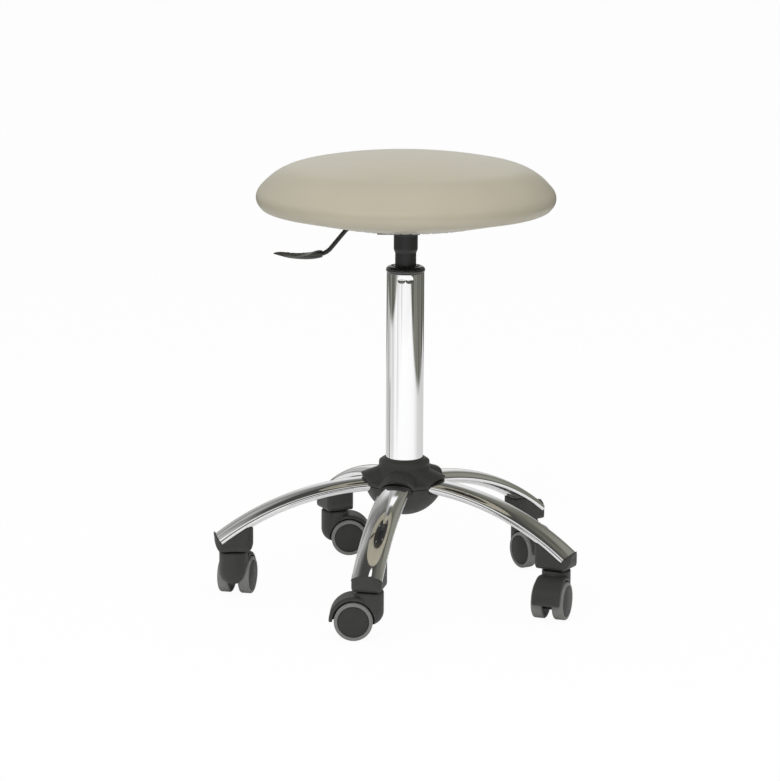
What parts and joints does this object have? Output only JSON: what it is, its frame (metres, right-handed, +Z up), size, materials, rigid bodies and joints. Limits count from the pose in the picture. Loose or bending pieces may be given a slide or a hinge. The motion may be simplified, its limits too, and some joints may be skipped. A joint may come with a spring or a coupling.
{
  "type": "rolling stool",
  "caption": "Round cushioned stool on a gas-lift column with a release lever, arched chrome star base and twin-wheel swivel casters.",
  "frame": {"origin": "on the column axis at floor level, under the seat", "axes": "+Z up along the column, +X to the right as the picture shows the stool, +Y away from the viewer"},
  "size_m": [0.4828, 0.4875, 0.5956],
  "materials": {
    "vinyl": "smooth sewn vinyl, soft sheen",
    "foam": "moulded upholstery foam",
    "board": "moulded plywood",
    "black_steel": "black powder coat",
    "steel": "plain steel",
    "chrome": "polished chrome plate",
    "black_plastic": "fine matt moulding",
    "wheel_plastic": "fine matt moulding, slightly smoother",
    "grey_tread": "soft grey tread"
  },
  "bodies": {
    "base": {"column_tube": "chrome", "guide_bush": "black_plastic", "thrust_bearing": "steel", "hub_core": "black_steel", "hub_top_cover": "black_plastic", "hub_bottom_cover": "black_plastic", "arm_1": "chrome", "arm_2": "chrome", "arm_3": "chrome", "arm_4": "chrome", "arm_5": "chrome", "foot_1": "black_plastic", "foot_2": "black_plastic", "foot_3": "black_plastic", "foot_4": "black_plastic", "foot_5": "black_plastic", "caster_stems": "steel"},
    "rod": {"piston_rod": "steel", "retaining_clip": "steel"},
    "seat": {"seat_cover": "vinyl", "seat_foam": "foam", "seat_board": "board", "seat_tee_nuts": "steel", "seat_bolts": "steel", "seat_plate": "black_steel", "lever_pin": "steel", "gas_cylinder": "black_steel"},
    "lever": {"release_lever": "black_steel", "lever_paddle": "black_plastic"},
    "button": {"release_button": "steel"},
    "caster_1": {"caster_1_hood": "black_plastic", "caster_1_axle": "steel"},
    "wheel_1_left": {"caster_1_wheel_left": "wheel_plastic", "caster_1_tread_left": "grey_tread"},
    "wheel_1_right": {"caster_1_wheel_right": "wheel_plastic", "caster_1_tread_right": "grey_tread"},
    "caster_2": {"caster_2_hood": "black_plastic", "caster_2_axle": "steel"},
    "wheel_2_left": {"caster_2_wheel_left": "wheel_plastic", "caster_2_tread_left": "grey_tread"},
    "wheel_2_right": {"caster_2_wheel_right": "wheel_plastic", "caster_2_tread_right": "grey_tread"},
    "caster_3": {"caster_3_hood": "black_plastic", "caster_3_axle": "steel"},
    "wheel_3_left": {"caster_3_wheel_left": "wheel_plastic", "caster_3_tread_left": "grey_tread"},
    "wheel_3_right": {"caster_3_wheel_right": "wheel_plastic", "caster_3_tread_right": "grey_tread"},
    "caster_4": {"caster_4_hood": "black_plastic", "caster_4_axle": "steel"},
    "wheel_4_left": {"caster_4_wheel_left": "wheel_plastic", "caster_4_tread_left": "grey_tread"},
    "wheel_4_right": {"caster_4_wheel_right": "wheel_plastic", "caster_4_tread_right": "grey_tread"},
    "caster_5": {"caster_5_hood": "black_plastic", "caster_5_axle": "steel"},
    "wheel_5_left": {"caster_5_wheel_left": "wheel_plastic", "caster_5_tread_left": "grey_tread"},
    "wheel_5_right": {"caster_5_wheel_right": "wheel_plastic", "caster_5_tread_right": "grey_tread"}
  },
  "joints": [
    {"name": "seat_swivel", "type": "hinge", "parent": "base", "child": "rod", "pos_m": [0, 0, 0.13], "axis": [0, 0, 1], "continuous": true},
    {"name": "seat_lift", "type": "slide", "parent": "rod", "child": "seat", "axis": [0, 0, 1], "range_m": [0, 0.2]},
    {"name": "lever_lift", "type": "hinge", "parent": "seat", "child": "lever", "pos_m": [-0.028, 0, 0.4995], "axis": [0, 1, 0], "range_deg": [0, 5.5], "stiffness_Nm_per_rad": 1.5, "springref_deg": -3.44},
    {"name": "button_press", "type": "slide", "parent": "seat", "child": "button", "axis": [0, 0, -1], "range_m": [0, 0.0027]},
    {"name": "caster_1_swivel", "type": "hinge", "parent": "base", "child": "caster_1", "pos_m": [-0.22829, -0.02803, 0.047], "axis": [0, 0, 1], "continuous": true},
    {"name": "wheel_1_left_roll", "type": "hinge", "parent": "caster_1", "child": "wheel_1_left", "pos_m": [-0.2239, -0.00903, 0.025], "axis": [-0.9744, 0.225, 0], "continuous": true},
    {"name": "wheel_1_right_roll", "type": "hinge", "parent": "caster_1", "child": "wheel_1_right", "pos_m": [-0.2239, -0.00903, 0.025], "axis": [-0.9744, 0.225, 0], "continuous": true},
    {"name": "caster_2_swivel", "type": "hinge", "parent": "base", "child": "caster_2", "pos_m": [-0.0972, 0.20845, 0.047], "axis": [0, 0, 1], "continuous": true},
    {"name": "wheel_2_left_roll", "type": "hinge", "parent": "caster_2", "child": "wheel_2_left", "pos_m": [-0.07775, 0.20981, 0.025], "axis": [-0.0698, 0.9976, 0], "continuous": true},
    {"name": "wheel_2_right_roll", "type": "hinge", "parent": "caster_2", "child": "wheel_2_right", "pos_m": [-0.07775, 0.20981, 0.025], "axis": [-0.0698, 0.9976, 0], "continuous": true},
    {"name": "caster_3_swivel", "type": "hinge", "parent": "base", "child": "caster_3", "pos_m": [0.16821, 0.15686, 0.047], "axis": [0, 0, 1], "continuous": true},
    {"name": "wheel_3_left_roll", "type": "hinge", "parent": "caster_3", "child": "wheel_3_left", "pos_m": [0.17883, 0.14051, 0.025], "axis": [0.8387, 0.5446, 0], "continuous": true},
    {"name": "wheel_3_right_roll", "type": "hinge", "parent": "caster_3", "child": "wheel_3_right", "pos_m": [0.17883, 0.14051, 0.025], "axis": [0.8387, 0.5446, 0], "continuous": true},
    {"name": "caster_4_swivel", "type": "hinge", "parent": "base", "child": "caster_4", "pos_m": [0.20116, -0.11151, 0.047], "axis": [0, 0, 1], "continuous": true},
    {"name": "wheel_4_left_roll", "type": "hinge", "parent": "caster_4", "child": "wheel_4_left", "pos_m": [0.19481, -0.12994, 0.025], "axis": [0.9455, -0.3256, 0], "continuous": true},
    {"name": "wheel_4_right_roll", "type": "hinge", "parent": "caster_4", "child": "wheel_4_right", "pos_m": [0.19481, -0.12994, 0.025], "axis": [0.9455, -0.3256, 0], "continuous": true},
    {"name": "caster_5_swivel", "type": "hinge", "parent": "base", "child": "caster_5", "pos_m": [-0.04389, -0.22577, 0.047], "axis": [0, 0, 1], "continuous": true},
    {"name": "wheel_5_left_roll", "type": "hinge", "parent": "caster_5", "child": "wheel_5_left", "pos_m": [-0.06337, -0.22509, 0.025], "axis": [-0.0349, -0.9994, 0], "continuous": true},
    {"name": "wheel_5_right_roll", "type": "hinge", "parent": "caster_5", "child": "wheel_5_right", "pos_m": [-0.06337, -0.22509, 0.025], "axis": [-0.0349, -0.9994, 0], "continuous": true}
  ],
  "couplings": [
    {"joint": "button_press", "follows": "lever_lift", "m_per_rad": 0.028}
  ]
}
